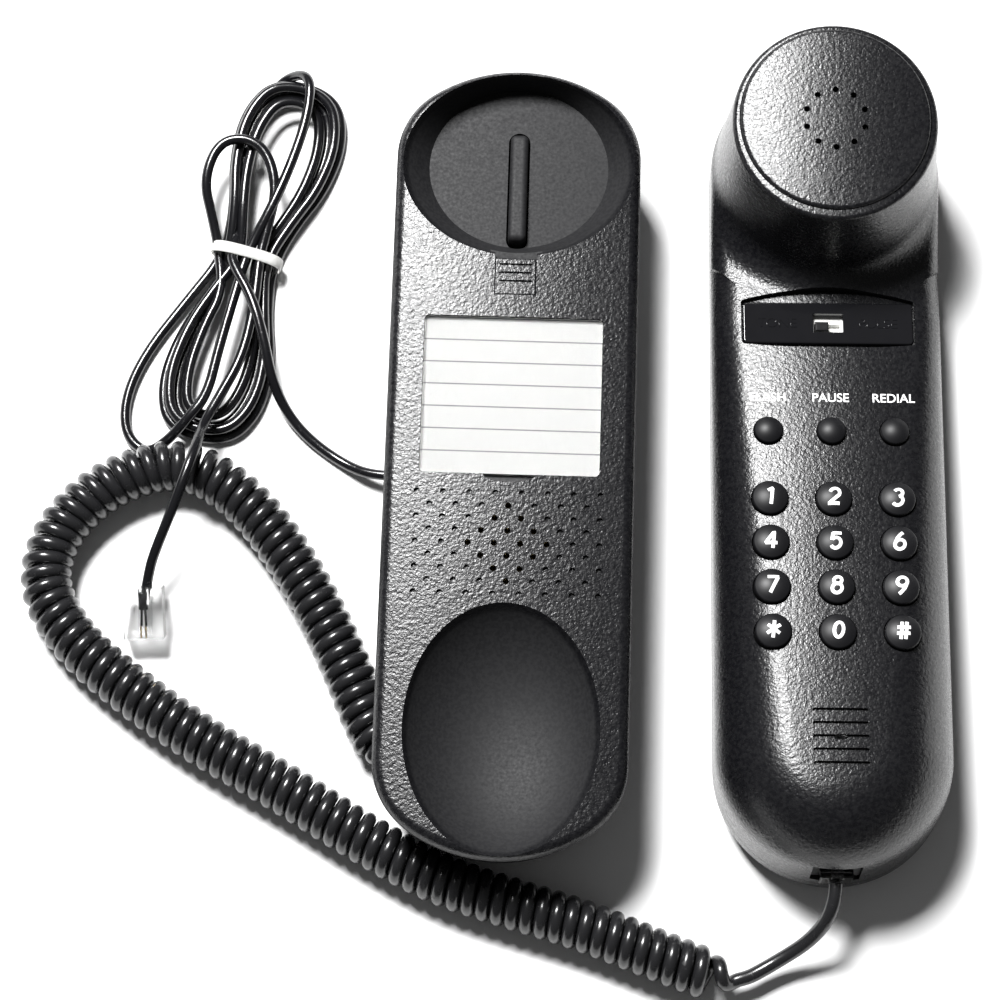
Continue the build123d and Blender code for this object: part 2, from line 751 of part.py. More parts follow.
with BuildPart() as front_shell:
    add(front_block)
    add(front_posts.part)
    # opening and seat for the ear cap
    with BuildSketch(across_ear(ear_cap_sink)):
        Circle(ear_cap_radius + slack)
    extrude(amount=FAR, mode=Mode.SUBTRACT)
    with BuildSketch(across_ear(wall + 1.0)):
        Circle(receiver_radius - 1.0)
    extrude(amount=FAR, mode=Mode.SUBTRACT)
    # key holes
    with BuildSketch(Plane.XY.offset(-2 * wall)):
        with Locations(*number_points):
            Circle(key_radius + key_gap)
        with Locations(*function_points):
            Circle(function_key_radius + key_gap)
    extrude(amount=FAR, mode=Mode.SUBTRACT)
    # room behind the face for the keys' lips
    with BuildSketch(Plane.XY.offset(-4 * wall)):
        with Locations(*number_points):
            Circle(key_radius + key_flange_lip + key_gap)
        with Locations(*function_points):
            Circle(function_key_radius + key_flange_lip + key_gap)
    extrude(amount=4 * wall + key_floor + key_flange + slack, mode=Mode.SUBTRACT)
    # recess of the switch plate, with a bowed upper and lower edge
    with BuildSketch(Plane.XY.offset(plate_floor)) as recess:
        half_x = plate_width / 2 + 0.4
        low, high = plate_y - plate_height / 2 - 0.3, plate_y + plate_height / 2 + 0.3
        with BuildLine():
            Line((-half_x, low), (-half_x, high))
            ThreePointArc((-half_x, high), (0, high + plate_arch), (half_x, high))
            Line((half_x, high), (half_x, low))
            ThreePointArc((half_x, low), (0, low - plate_sag), (-half_x, low))
        make_face()
        fillet(recess.vertices(), plate_corner)
    extrude(amount=FAR, mode=Mode.SUBTRACT)
    with BuildSketch(Plane((0, plate_y, -2 * wall))):
        Rectangle(slot_width + 2.4, slot_height + 2.4)
    extrude(amount=FAR, mode=Mode.SUBTRACT)
    # sound slots at the mouth and the hole behind the middle one
    with BuildSketch(Plane.XY.offset(-mic_slot_depth)):
        with Locations(*[(0, mic_y + (n - 2) * mic_slot_pitch) for n in range(mic_slot_count)]):
            SlotOverall(mic_slot_length, mic_slot_width)
    extrude(amount=FAR, mode=Mode.SUBTRACT)
    with BuildSketch(Plane((0, mic_y, -2 * wall))):
        SlotOverall(3.0, 1.4)
    extrude(amount=FAR, mode=Mode.SUBTRACT)
    add(jack_opening, mode=Mode.SUBTRACT)
    # screw holes in the posts
    with BuildSketch(Plane.XY.offset(-45)):
        with Locations(*handset_posts):
            Circle(screw_radius + running_gap)
    extrude(amount=45 - 2 * wall, mode=Mode.SUBTRACT)
save(handset_place * front_shell.part, "handset_front_shell")

with BuildPart() as back_shell:
    add(back_block)
    # deep wells for the screws
    with BuildSketch(Plane.XY.offset(-45)):
        with Locations(*handset_posts):
            Circle(post_radius + 1.0)
    extrude(amount=45)
    split(bisect_by=parting.offset(-shell_gap / 2), keep=Keep.BOTTOM)
    add(outer, mode=Mode.INTERSECT)
    with BuildSketch(Plane.XY.offset(-45)):
        with Locations(*handset_posts):
            Circle(screw_radius + 0.15)
    extrude(amount=45, mode=Mode.SUBTRACT)
    for x, y in handset_posts:
        with BuildSketch(Plane((x, y, back_z(y) + handset_screw_depth))):
            Circle(screw_head_radius + 0.3)
        extrude(amount=-handset_screw_depth - 5, mode=Mode.SUBTRACT)
    add(jack_opening, mode=Mode.SUBTRACT)
save(handset_place * back_shell.part, "handset_back_shell")


def handset_piece(shape, name):
    """Puts a piece drawn in the face's frame beside the base, and writes it."""
    save(handset_place * shape, name)


# ---- ear ----
with BuildPart() as ear_cap:
    with BuildSketch(across_ear(ear_cap_sink - 0.05)):
        Circle(ear_cap_radius)
    extrude(amount=ear_cap_height)
    fillet(ear_cap.faces().sort_by(Axis.Z)[-1].edges(), 0.9)
    with BuildSketch(across_ear(ear_cap_sink)):
        with PolarLocations(ear_hole_circle, ear_hole_count, start_angle=90):
            Circle(ear_hole_radius)
    extrude(amount=FAR, mode=Mode.SUBTRACT)
handset_piece(ear_cap.part, "ear_cap")

receiver_depth = wall + foam_height + 0.15
with BuildPart() as foam:
    with BuildSketch(across_ear(receiver_depth - 0.05)):
        Circle(receiver_radius - 0.5)
        Circle(receiver_radius - 4.5, mode=Mode.SUBTRACT)
    extrude(amount=foam_height)
handset_piece(foam.part, "receiver_foam_ring")
with BuildPart() as receiver:
    with BuildSketch(across_ear(receiver_depth + receiver_height)):
        Circle(receiver_radius - 4)
    extrude(amount=receiver_height)
    with BuildSketch(across_ear(receiver_depth + 2.5)):
        Circle(receiver_radius)
    extrude(amount=2.5)
    with BuildSketch(across_ear(receiver_depth + 0.6)):
        Circle(receiver_radius - 3.5)
    extrude(amount=1, mode=Mode.SUBTRACT)
handset_piece(receiver.part, "receiver")

# ---- keypad ----


def key(x, y, radius):
    """A domed key with a lip that keeps it behind the face."""
    with BuildPart() as made:
        with BuildSketch(Plane((x, y, key_floor))):
            Circle(radius + key_flange_lip)
        extrude(amount=key_flange)
        with BuildSketch(Plane((x, y, key_floor))):
            Circle(radius)
        extrude(amount=0.9 - key_floor)
        dome_height = key_rise - 0.9
        dome_radius = (radius**2 + dome_height**2) / (2 * dome_height)
        with BuildSketch(Plane((x, y, 0), x_dir=(1, 0, 0), z_dir=(0, -1, 0))):
            with BuildLine():
                Line((0, 0.9), (0, key_rise))
                RadiusArc((0, key_rise), (radius, 0.9), dome_radius)
                Line((radius, 0.9), (0, 0.9))
            make_face()
        revolve(axis=Axis((x, y, 0), (0, 0, 1)))
        shoulder = made.edges().filter_by(GeomType.CIRCLE).filter_by(lambda e: abs(e.center().Z - 0.9) < 0.01)
        fillet(shoulder, 0.6)
    return made.part


number_names = ["1", "2", "3", "4", "5", "6", "7", "8", "9", "star", "0", "hash"]
for name, (x, y) in zip(number_names, number_points):
    handset_piece(key(x, y, key_radius), f"key_{name}")
for name, (x, y) in zip(["flash", "pause", "redial"], function_points):
    handset_piece(key(x, y, function_key_radius), f"key_{name}")

mat_low = key_rows[-1] - 8.0
mat_high = function_key_y + 8.0
board_high = plate_y + 8.0
board_low = mic_y - 9.0
with BuildPart() as key_mat:
    with BuildSketch(Plane((0, (mat_low + mat_high) / 2, mat_floor))):
        RectangleRounded(board_width - 4, mat_high - mat_low, 2.0)
    extrude(amount=mat_thickness)
    with BuildSketch(Plane.XY.offset(mat_floor)):
        with Locations(*number_points, *function_points):
            Circle(2.0)
    extrude(amount=0.6, mode=Mode.SUBTRACT)
handset_piece(key_mat.part, "key_mat")

with BuildPart() as board:
    with BuildSketch(Plane((0, (board_low + board_high) / 2, board_top - board_thickness))):
        RectangleRounded(board_width, board_high - board_low, 3.0)
    extrude(amount=board_thickness)
    # dialler chip, coils and capacitors on its back
    with BuildSketch(Plane.XY.offset(board_top - board_thickness - 3.0)):
        with Locations((-6, 22), (9, 5), (-10, -20), (8, -34)):
            Rectangle(8, 10)
    extrude(amount=3.0)
handset_piece(board.part, "handset_circuit_board")

# ---- tone or pulse switch ----
with BuildPart() as plate:
    with BuildSketch(Plane((0, plate_y, plate_floor + 0.05))):
        RectangleRounded(plate_width, plate_height, plate_corner)
        Rectangle(slot_width, slot_height, mode=Mode.SUBTRACT)
    extrude(amount=plate_thickness)
    rim = plate.faces().sort_by(Axis.Z)[-1].outer_wire().edges()
    fillet(rim, 0.5)
handset_piece(plate.part, "switch_plate")
switch_body_top = plate_floor - 0.9
with BuildPart() as switch_body:
    with BuildSketch(Plane((0, plate_y, board_top))):
        Rectangle(slot_width + 1.6, slot_height + 1.6)
    extrude(amount=switch_body_top - board_top)
    with BuildSketch(Plane((0, plate_y - 0.7, switch_body_top - 1.6))):
        Rectangle(slider_width + slider_travel + 0.3, slider_height + 0.3)
    extrude(amount=5, mode=Mode.SUBTRACT)
handset_piece(switch_body.part, "dial_switch_body")
with BuildPart() as slider:
    with BuildSketch(Plane((-slider_travel / 2, plate_y - 0.7, switch_body_top - 1.5))):
        Rectangle(slider_width, slider_height)
    extrude(amount=plate_floor - switch_body_top + 2.5)
    fillet(slider.faces().sort_by(Axis.Z)[-1].edges(), 0.3)
handset_piece(slider.part, "dial_switch_slider")

# ---- mouth ----
mic_top = -wall - 0.1
with BuildPart() as mic_boot:
    with BuildSketch(Plane((0, mic_y, mic_top - 2.4))):
        Circle(mic_radius + 1.2)
    extrude(amount=2.4)
    with BuildSketch(Plane((0, mic_y, mic_top - 2.4))):
        Circle(mic_radius + 0.05)
    extrude(amount=1.6, mode=Mode.SUBTRACT)
    with BuildSketch(Plane((0, mic_y, mic_top - 2.4))):
        Circle(1.2)
    extrude(amount=3, mode=Mode.SUBTRACT)
handset_piece(mic_boot.part, "microphone_boot")
handset_piece(cylinder(mic_radius, 3.2, Plane((0, mic_y, mic_top - 4.05))), "microphone")

# ---- screws, socket and plug ----
shank = 10.0
handset_screws = [screw(Plane((x, y, back_z(y) + handset_screw_depth)), shank) for x, y in handset_posts]
handset_piece(Compound(handset_screws), "handset_screws")

plug_end_y = jack_end_y - 2.2
with BuildPart() as jack:
    add(block(0, jack_end_y + 0.2 + jack_length / 2, jack_z - jack_height / 2, jack_width, jack_length, jack_height))
    add(
        block(0, plug_end_y + plug_length / 2 + slack, jack_z - plug_height / 2 - slack, plug_width + 2 * slack, plug_length, plug_height + 2 * slack),
        mode=Mode.SUBTRACT,
    )
handset_piece(jack.part, "handset_socket")
with BuildPart() as plug:
    add(block(0, plug_end_y + plug_length / 2, jack_z - plug_height / 2, plug_width, plug_length, plug_height - 1.6, 0.4))
    # latch on the side that faces up
    add(block(0, plug_end_y + plug_length / 2 - 1.0, jack_z + plug_height / 2 - 1.2, 3.0, plug_length - 1.0, 1.0, 0.4))
    add(block(0, plug_end_y + plug_length - 2.5, jack_z + plug_height / 2 - 1.7, 3.0, 2.0, 0.8))
handset_piece(plug.part, "handset_plug")


# ======== cords ========
def cord_radii(points):
    """The largest smooth radius at each inner point of a cord's route."""
    radii = []
    for before, here, after in zip(points, points[1:], points[2:]):
        a, b = Vector(here) - Vector(before), Vector(after) - Vector(here)
        radii.append(0.45 * min(a.length, b.length) / tan(radians(a.get_angle(b)) / 2))
    return radii


def cord(points, diameter, name):
    """A plain tube along straight runs and tangent arcs."""
    radii = cord_radii(points)
    with BuildPart() as tube:
        with BuildLine() as run:
            FilletPolyline(*points, radius=radii)
        route = run.wire()
        with BuildSketch(Plane(route @ 0, z_dir=route % 0)):
            Circle(diameter / 2)
        sweep(path=route)
    expected = route.length * pi * diameter**2 / 4
    print(name, "radii", [round(r, 1) for r in radii])
    print(name, "length", round(route.length, 1), "volume share", round(tube.part.volume / expected, 4))
    save(tube.part, name)


coil_start = Vector(coil_exit) + coil_out * coil_collar
coil_route = [
    coil_start,
    coil_start + coil_out * 8.5,
    (-38.6, -46.5, coil_height),
    (-50.0, -25.5, coil_height),
    (-63.5, -8.0, coil_height),
    (-79.5, 1.5, coil_height),
    (-97.0, -3.8, coil_height),
    (-109.5, -16.5, coil_height),
    (-112.5, -31.0, coil_height),
    (-104.5, -44.0, coil_height),
    (-90.5, -55.5, coil_height),
    (-71.5, -68.0, coil_height),
    (-51.5, -78.5, coil_height),
    (-34.5, -88.6, coil_height),
    (-15.5, -98.8, coil_height),
    (2.0, -104.0, coil_height),
    (19.5, -108.6, coil_height),
    (36.0, -114.6, coil_height),
    (48.5, -118.0, coil_height),
]
cord(coil_route, coil_diameter, "coil_cord")

# plain end of the curly cord, from the side of its last turn up into the handset's plug
plug_mouth = handset_place * Pos(0, plug_end_y, jack_z - 0.8)
plug_out = Vector(-sin(radians(handset_lean)) * -cos(tilt), -cos(tilt), sin(tilt))
tail_end = plug_mouth.position + plug_out * 0.3
tail_route = [
    (47.4, -122.2, 4.9),
    (56.5, -122.6, 3.4),
    (66.5, -115.8, 4.6),
    (74.6, -110.6, 10.2),
    tail_end + plug_out * 5.0,
    tail_end,
]
cord(tail_route, tail_diameter, "coil_cord_tail")

# line cord, from the base over the table to its hank
line_start = Vector(line_exit_x - line_collar, line_exit_y, line_exit_z)
line_route = [
    line_start,
    line_start + Vector(-6.0, 0, 0),
    (-40.0, 1.8, 1.5),
    (-50.0, 8.5, 1.4),
    (-56.3, 16.0, 1.4),
    (-59.9, 23.6, 1.4),
]
cord(line_route, line_diameter, "line_cord")

# the hank: a figure of eight lying flat, pinched where the tie holds it
hank_outline = [
    (-62.0, 106.0),
    (-49.0, 99.0),
    (-46.0, 88.0),
    (-49.0, 73.0),
    (-58.8, 60.0),
    (-58.8, 50.0),
    (-59.8, 26.0),
    (-65.0, 10.0),
    (-76.0, 7.4),
    (-91.0, 8.0),
    (-94.0, 18.0),
    (-90.0, 34.0),
    (-76.2, 50.0),
    (-76.2, 60.0),
    (-79.5, 78.0),
    (-73.5, 92.0),
]
tie_y = 55.6
with BuildPart() as tie:
    with BuildSketch(Plane.XZ.offset(-tie_y)) as tie_section:
        with Locations((-67.5, 0)):
            RectangleRounded(17.2, hank_height + 0.6, 2.0, align=(Align.CENTER, Align.MIN))
            with Locations((0, tie_thickness)):
                RectangleRounded(
                    17.2 - 2 * tie_thickness,
                    hank_height + 0.6 - 2 * tie_thickness,
                    1.4,
                    align=(Align.CENTER, Align.MIN),
                    mode=Mode.SUBTRACT,
                )
    extrude(amount=tie_width / 2, both=True)
save(tie.part, "twist_tie")
with BuildPart() as tie_groove:
    with BuildSketch(Plane.XZ.offset(-tie_y)):
        with Locations((-67.5, -1)):
            Rectangle(40, hank_height + 4, align=(Align.CENTER, Align.MIN))
        with Locations((-67.5, tie_thickness)):
            RectangleRounded(
                17.2 - 2 * tie_thickness,
                hank_height + 0.6 - 2 * tie_thickness,
                1.4,
                align=(Align.CENTER, Align.MIN),
                mode=Mode.SUBTRACT,
            )
    extrude(amount=tie_width / 2, both=True)
with BuildPart() as hank:
    with BuildSketch() as hank_plan:
        with BuildLine():
            Polyline(*hank_outline, close=True)
        make_face()
        fillet(hank_plan.vertices(), 3.0)
    extrude(amount=hank_height)
    chamfer(hank.faces().sort_by(Axis.Z)[-1].edges(), 1.2)
    add(tie_groove.part, mode=Mode.SUBTRACT)
save(hank.part, "line_cord_hank")

# modular plug that lies on its latch, with its cord's end raised
line_plug_tilt = 21.0
line_plug_turn = 3.7
line_plug_place = Pos(-86.9, -41.5, 0.35) * Rot(Z=line_plug_turn) * Rot(X=line_plug_tilt)
with BuildPart() as line_plug:
    add(block(0, line_plug_length / 2, 0, line_plug_width, line_plug_length, line_plug_height, 0.3))
    # funnel that the cord goes in by
    with BuildSketch(Plane((0, line_plug_length, line_plug_height / 2), x_dir=(1, 0, 0), z_dir=(0, 1, 0))):
        Circle(line_diameter / 2 + slack)
    extrude(amount=-4.0, mode=Mode.SUBTRACT)
    # slots for the contacts
    with BuildSketch(Plane.XY.offset(line_plug_height - 2.4)):
        with Locations((-0.6, 1.9), (0.6, 1.9)):
            Rectangle(0.4, 3.0)
    extrude(amount=FAR, mode=Mode.SUBTRACT)
    # latch
    with BuildSketch(Plane.YZ.offset(-1.6)):
        with BuildLine():
            Polyline((0.4, 0.2), (0.4, -0.4), (10.4, -3.4), (10.4, -2.4), (2.2, 0.2), close=True)
        make_face()
    extrude(amount=3.2)
save(line_plug_place * line_plug.part, "line_plug")
contact = block(-0.6, 1.9, line_plug_height - 2.4, 0.3, 2.8, 2.2)
save(line_plug_place * Compound([contact, Pos(1.2, 0, 0) * contact]), "line_plug_contacts")

plug_entry = line_plug_place * Pos(0, line_plug_length - 4.0, line_plug_height / 2)
plug_back = (line_plug_place * Pos(0, line_plug_length + 4.5, line_plug_height / 2)).position
line_tail_route = [
    (-75.9, 7.4, 6.0),
    (-76.2, 5.6, 11.5),
    (-77.4, 0.5, 17.0),
    (-79.6, -6.6, 17.2),
    (-82.4, -13.6, 14.6),
    (-85.4, -20.0, 11.6),
    plug_back,
    plug_entry.position,
]
cord(line_tail_route, line_diameter, "line_cord_tail")
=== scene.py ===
import json
from math import cos, pi, radians, sin, sqrt, tau

import bmesh
import bpy
from mathutils import Matrix, Vector


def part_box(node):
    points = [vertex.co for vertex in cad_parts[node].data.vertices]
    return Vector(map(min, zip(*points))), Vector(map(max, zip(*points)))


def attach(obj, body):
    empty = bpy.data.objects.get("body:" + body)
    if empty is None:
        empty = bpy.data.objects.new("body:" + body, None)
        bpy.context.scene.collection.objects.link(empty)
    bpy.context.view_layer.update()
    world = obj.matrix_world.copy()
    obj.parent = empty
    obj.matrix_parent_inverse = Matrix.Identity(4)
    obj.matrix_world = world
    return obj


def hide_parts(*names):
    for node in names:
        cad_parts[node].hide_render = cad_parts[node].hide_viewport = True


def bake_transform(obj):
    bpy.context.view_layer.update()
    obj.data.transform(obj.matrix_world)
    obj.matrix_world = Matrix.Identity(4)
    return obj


# A slim corded telephone: a cradle base, a keypad handset on a curly cord, and a tied line cord.
# Metres, in the frame of the base: +Y to its ear end, +X to the handset, +Z up off the table.

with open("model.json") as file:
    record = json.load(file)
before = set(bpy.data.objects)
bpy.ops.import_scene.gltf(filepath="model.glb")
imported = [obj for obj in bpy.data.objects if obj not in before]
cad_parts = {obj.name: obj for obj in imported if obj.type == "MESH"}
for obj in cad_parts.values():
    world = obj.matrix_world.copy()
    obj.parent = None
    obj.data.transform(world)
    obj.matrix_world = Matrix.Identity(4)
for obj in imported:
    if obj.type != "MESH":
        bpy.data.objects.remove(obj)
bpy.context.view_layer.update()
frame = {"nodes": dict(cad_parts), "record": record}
nodes = frame["nodes"]
MM = 0.001

# the handset's face: its middle, its turn from the base's line, and its rise to the mouth
FACE_MIDDLE = Vector((76.9, 1.6, 24.4)) * MM
FACE_LEAN = radians(1.1)
FACE_TILT = radians(7.25)
FACE = (
    Matrix.Translation(FACE_MIDDLE)
    @ Matrix.Rotation(FACE_LEAN, 4, "Z")
    @ Matrix.Rotation(-FACE_TILT, 4, "X")
)
KEY_PITCH_X = 15.1 * MM
KEY_PITCH_Y = 11.17 * MM
TOP_ROW_Y = -10.4 * MM
FUNCTION_ROW_Y = 7.1 * MM
KEY_RADIUS = 4.25 * MM
KEY_RISE = 2.2 * MM
KEY_SHOULDER = 0.9 * MM
PLATE_Y = 36.0 * MM
PLATE_TOP = -0.25 * MM

# the grain, and the heights between which it fades out at the base's wells
GRAIN_HEIGHT = 0.14 * MM
WELL_RIM_LOW = 26.8 * MM
WELL_RIM_HIGH = 28.4 * MM
BASE_CROWN = 220 * MM
HANDSET_CROWN = 95 * MM
CARD_BANDS = 7


# ======== materials ========
class Term:
    """A number or colour worked out in a material's nodes, with ordinary arithmetic."""

    def __init__(self, look, socket):
        self.look = look
        self.socket = socket

    def work(self, operation, *others):
        terms = dict(enumerate((self, *others)))
        made = self.look.node("ShaderNodeMath", terms, operation=operation)
        return Term(self.look, made.outputs[0])

    def __add__(self, other):
        return self.work("ADD", other)

    def __sub__(self, other):
        return self.work("SUBTRACT", other)

    def __mul__(self, other):
        return self.work("MULTIPLY", other)

    def __truediv__(self, other):
        return self.work("DIVIDE", other)

    __radd__ = __add__
    __rmul__ = __mul__

    def step(self, low, high):
        """0 below low, 1 above high, and smooth between."""
        made = self.look.node(
            "ShaderNodeMapRange",
            {"Value": self, "From Min": low, "From Max": high},
            interpolation_type="SMOOTHSTEP",
        )
        return Term(self.look, made.outputs["Result"])


class Look:
    """A material in the making."""

    def __init__(self, name, colour, roughness, **constants):
        self.material = bpy.data.materials.new(name)
        self.material.use_nodes = True
        self.tree = self.material.node_tree
        self.shader = self.tree.nodes["Principled BSDF"]
        self.shader.inputs["Base Color"].default_value = (*colour, 1)
        self.shader.inputs["Roughness"].default_value = roughness
        for socket, value in constants.items():
            self.shader.inputs[socket.replace("_", " ")].default_value = value
        self.place = Term(self, self.node("ShaderNodeTexCoord").outputs["Object"])

    def node(self, kind, inputs=(), **settings):
        made = self.tree.nodes.new(kind)
        for name, value in settings.items():
            setattr(made, name, value)
        for socket, value in dict(inputs).items():
            if isinstance(value, Term):
                self.tree.links.new(value.socket, made.inputs[socket])
            else:
                made.inputs[socket].default_value = value
        return made

    def along(self, axis):
        """The place along an axis, in metres."""
        return Term(self, self.node("ShaderNodeSeparateXYZ", {0: self.place}).outputs[axis])

    def noise(self, size, detail=2.0, stretch=(1, 1, 1)):
        """Smooth noise with grains of a size in metres, stretched along the axes."""
        scaled = self.node(
            "ShaderNodeVectorMath", {0: self.place, 1: [1 / s for s in stretch]}, operation="MULTIPLY"
        )
        made = self.node(
            "ShaderNodeTexNoise",
            {"Vector": Term(self, scaled.outputs[0]), "Scale": 1 / size, "Detail": detail},
        )
        return Term(self, made.outputs["Fac"])

    def cells(self, size):
        """Distance from the middle of the nearest of many cells of a size in metres."""
        made = self.node(
            "ShaderNodeTexVoronoi", {"Vector": self.place, "Scale": 1 / size}, feature="SMOOTH_F1"
        )
        return Term(self, made.outputs["Distance"])

    def mix(self, factor, first, second):
        """The first colour where the factor is 0 and the second where it is 1."""
        made = self.node(
            "ShaderNodeMix",
            {0: factor, 6: (*first, 1) if not isinstance(first, Term) else first, 7: (*second, 1)},
            data_type="RGBA",
        )
        return Term(self, made.outputs[2])

    def give(self, socket, term):
        self.tree.links.new(term.socket, self.shader.inputs[socket])

    def bump(self, height, distance):
        """Shade the surface as if it rose by the height times the distance, in metres."""
        made = self.node("ShaderNodeBump", {"Height": height, "Distance": distance, "Strength": 1.0})
        self.tree.links.new(made.outputs[0], self.shader.inputs["Normal"])


def grained_plastic(name, middle, crown, wells):
    """Black ABS with a fine grain that glints, shaded as if crowned about a middle line to a
    radius, and smoother and duller in wells below the base's top."""
    look = Look(name, (0.006, 0.006, 0.007), 0.36, Specular_IOR_Level=0.4)
    grain = look.noise(0.0009, 3)
    height = (grain + look.noise(0.0004, 1) * 0.4) * GRAIN_HEIGHT
    off = look.along("X") - middle
    if wells:
        height = height * look.along("Z").step(WELL_RIM_LOW, WELL_RIM_HIGH)
    height = height - off * off / (2 * crown)
    look.bump(height, 1.0)
    # the grain's raised spots are painted a shade lighter: a painted glint speckle that follows the
    # grain
    dark, light = (0.004, 0.004, 0.005), (0.008, 0.008, 0.009)
    look.give("Base Color", look.mix(grain.step(0.4, 0.6), dark, light))
    fine_roughness = look.noise(0.0007, 2) * 0.3 + 0.14
    if wells:
        in_well = look.along("Z").step(WELL_RIM_HIGH, WELL_RIM_LOW)
        fine_roughness = fine_roughness + in_well * 0.4
    look.give("Roughness", fine_roughness)
    return look.material


def satin_key_plastic():
    look = Look("satin_key_plastic", (0.005, 0.005, 0.006), 0.3, Specular_IOR_Level=0.3)
    look.bump(look.noise(0.0004, 2), 0.000004)
    look.give("Roughness", look.noise(0.004, 3) * 0.12 + 0.4)
    return look.material


def polished_plastic():
    look = Look("polished_black_plastic", (0.006, 0.006, 0.007), 0.08, Specular_IOR_Level=0.5)
    look.bump(look.noise(0.006, 2), 0.00002)
    look.give("Roughness", look.noise(0.003, 3) * 0.08 + 0.05)
    return look.material


def white_plastic():
    look = Look("white_plastic", (0.82, 0.82, 0.8), 0.45)
    look.bump(look.noise(0.0006, 2), 0.00001)
    look.give("Base Color", look.mix(look.noise(0.002, 3), (0.86, 0.86, 0.84), (0.78, 0.78, 0.76)))
    return look.material


def white_print():
    look = Look("white_print", (0.86, 0.86, 0.86), 0.5)
    worn = look.noise(0.0003, 2).step(0.4, 0.7)
    look.give("Base Color", look.mix(worn, (0.9, 0.9, 0.9), (0.74, 0.74, 0.75)))
    return look.material


def ruled_card(node):
    """White card with grey lines ruled across it."""
    look = Look("ruled_card", (0.86, 0.86, 0.85), 0.75)
    low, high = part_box(node)
    band = (high[1] - low[1]) / CARD_BANDS
    across = (look.along("Y") - low[1]) / band
    line = ((across + 0.5).work("FRACT", 0) - 0.5).work("ABSOLUTE", 0).step(0.04, 0.022)
    fibre = look.noise(0.0008, 4, (1, 3, 1))
    paper = look.mix(fibre, (0.9, 0.9, 0.885), (0.82, 0.82, 0.805))
    look.give("Base Color", look.mix(line, paper, (0.33, 0.33, 0.34)))
    look.bump(fibre, 0.00001)
    return look.material


def clear_plastic():
    glass = {"Transmission_Weight": 1.0, "IOR": 1.5, "Specular_IOR_Level": 0.5}
    look = Look("clear_plastic", (0.97, 0.97, 0.97), 0.06, **glass)
    look.bump(look.noise(0.002, 2), 0.00002)
    look.give("Roughness", look.noise(0.001, 2) * 0.08 + 0.03)
    return look.material


def soft_cord_plastic(name, colour, roughness):
    """Glossy black PVC with slow waves and a little dust."""
    look = Look(name, colour, roughness, Specular_IOR_Level=0.55)
    look.bump(look.noise(0.003, 2) + look.noise(0.0003, 2) * 0.1, 0.00006)
    dust = look.noise(0.0015, 4).step(0.62, 0.75)
    look.give("Roughness", dust * 0.25 + look.noise(0.006, 2) * 0.08 + (roughness - 0.04))
    return look.material


def plated_steel():
    look = Look("plated_steel", (0.62, 0.62, 0.63), 0.28, Metallic=1.0)
    look.give("Roughness", look.noise(0.0006, 4, (1, 12, 1)) * 0.25 + 0.18)
    return look.material


def brass():
    look = Look("brass", (0.76, 0.58, 0.26), 0.25, Metallic=1.0)
    look.give("Roughness", look.noise(0.001, 4) * 0.25 + 0.15)
    return look.material


def laminate():
    look = Look("green_laminate", (0.03, 0.13, 0.06), 0.35)
    track = look.noise(0.003, 1).step(0.48, 0.52)
    look.give("Base Color", look.mix(track, (0.02, 0.1, 0.045), (0.035, 0.16, 0.075)))
    look.bump(track, 0.00003)
    return look.material


def dark_plastic():
    look = Look("dark_moulded_plastic", (0.05, 0.05, 0.052), 0.45)
    look.bump(look.noise(0.0005, 2), 0.00001)
    return look.material


def foam():
    look = Look("open_foam", (0.05, 0.05, 0.052), 0.95)
    pores = look.cells(0.0006)
    look.bump(pores, 0.0003)
    # pore hollows painted darker than the cell walls: painted shade in the pores
    look.give("Base Color", look.mix(pores.step(0.1, 0.6), (0.02, 0.02, 0.02), (0.09, 0.09, 0.092)))
    return look.material


def grey_rubber():
    look = Look("grey_rubber", (0.35, 0.35, 0.36), 0.6)
    look.bump(look.noise(0.0004, 3), 0.00001)
    look.give("Roughness", look.noise(0.002, 3) * 0.2 + 0.5)
    return look.material


grained = grained_plastic("grained_base_plastic", 0.0, BASE_CROWN, True)
grained_handset = grained_plastic("grained_handset_plastic", FACE_MIDDLE.x, HANDSET_CROWN, False)
key_plastic = satin_key_plastic()
polished = polished_plastic()
white = white_plastic()
printed = white_print()
clear = clear_plastic()
curly_pvc = soft_cord_plastic("curly_cord_plastic", (0.012, 0.012, 0.013), 0.24)
line_pvc = soft_cord_plastic("line_cord_plastic", (0.005, 0.005, 0.006), 0.2)


def dress_frame():
    """Give every node the finish of its slot, and the handset's shells their own crown."""
    finish = {
        "black_abs": grained,
        "key_abs": key_plastic,
        "gloss_black": polished,
        "white_plastic": white,
        "clear_plastic": clear,
        "card": ruled_card("index_card"),
        "circuit_board": laminate(),
        "steel": plated_steel(),
        "brass": brass(),
        "receiver_plastic": dark_plastic(),
        "foam": foam(),
        "grey_rubber": grey_rubber(),
        "cord_pvc": line_pvc,
    }
    for part in frame["record"]["subparts"]:
        for held in nodes[part["node"]].material_slots:
            held.material = finish[part["material_slot"]]
    for name in ("handset_front_shell", "handset_back_shell", "ear_cap"):
        for held in nodes[name].material_slots:
            held.material = grained_handset


dress_frame()


# ======== making pieces ========
def piece(name, mesh, look, body=None):
    """A finished mesh as a piece, which rides on a body if one is named."""
    made = bpy.data.objects.new(name, mesh)
    bpy.context.scene.collection.objects.link(made)
    mesh.materials.clear()
    mesh.materials.append(look)
    if body:
        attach(made, body)
    return made


def smooth_route(points):
    """Points along the smooth curve that a list of points in millimetres guides."""
    curve = guided_curve("route", points)
    mesh = bpy.data.meshes.new_from_object(bpy.data.objects.new("route", curve))
    return [v.co.copy() for v in mesh.vertices]


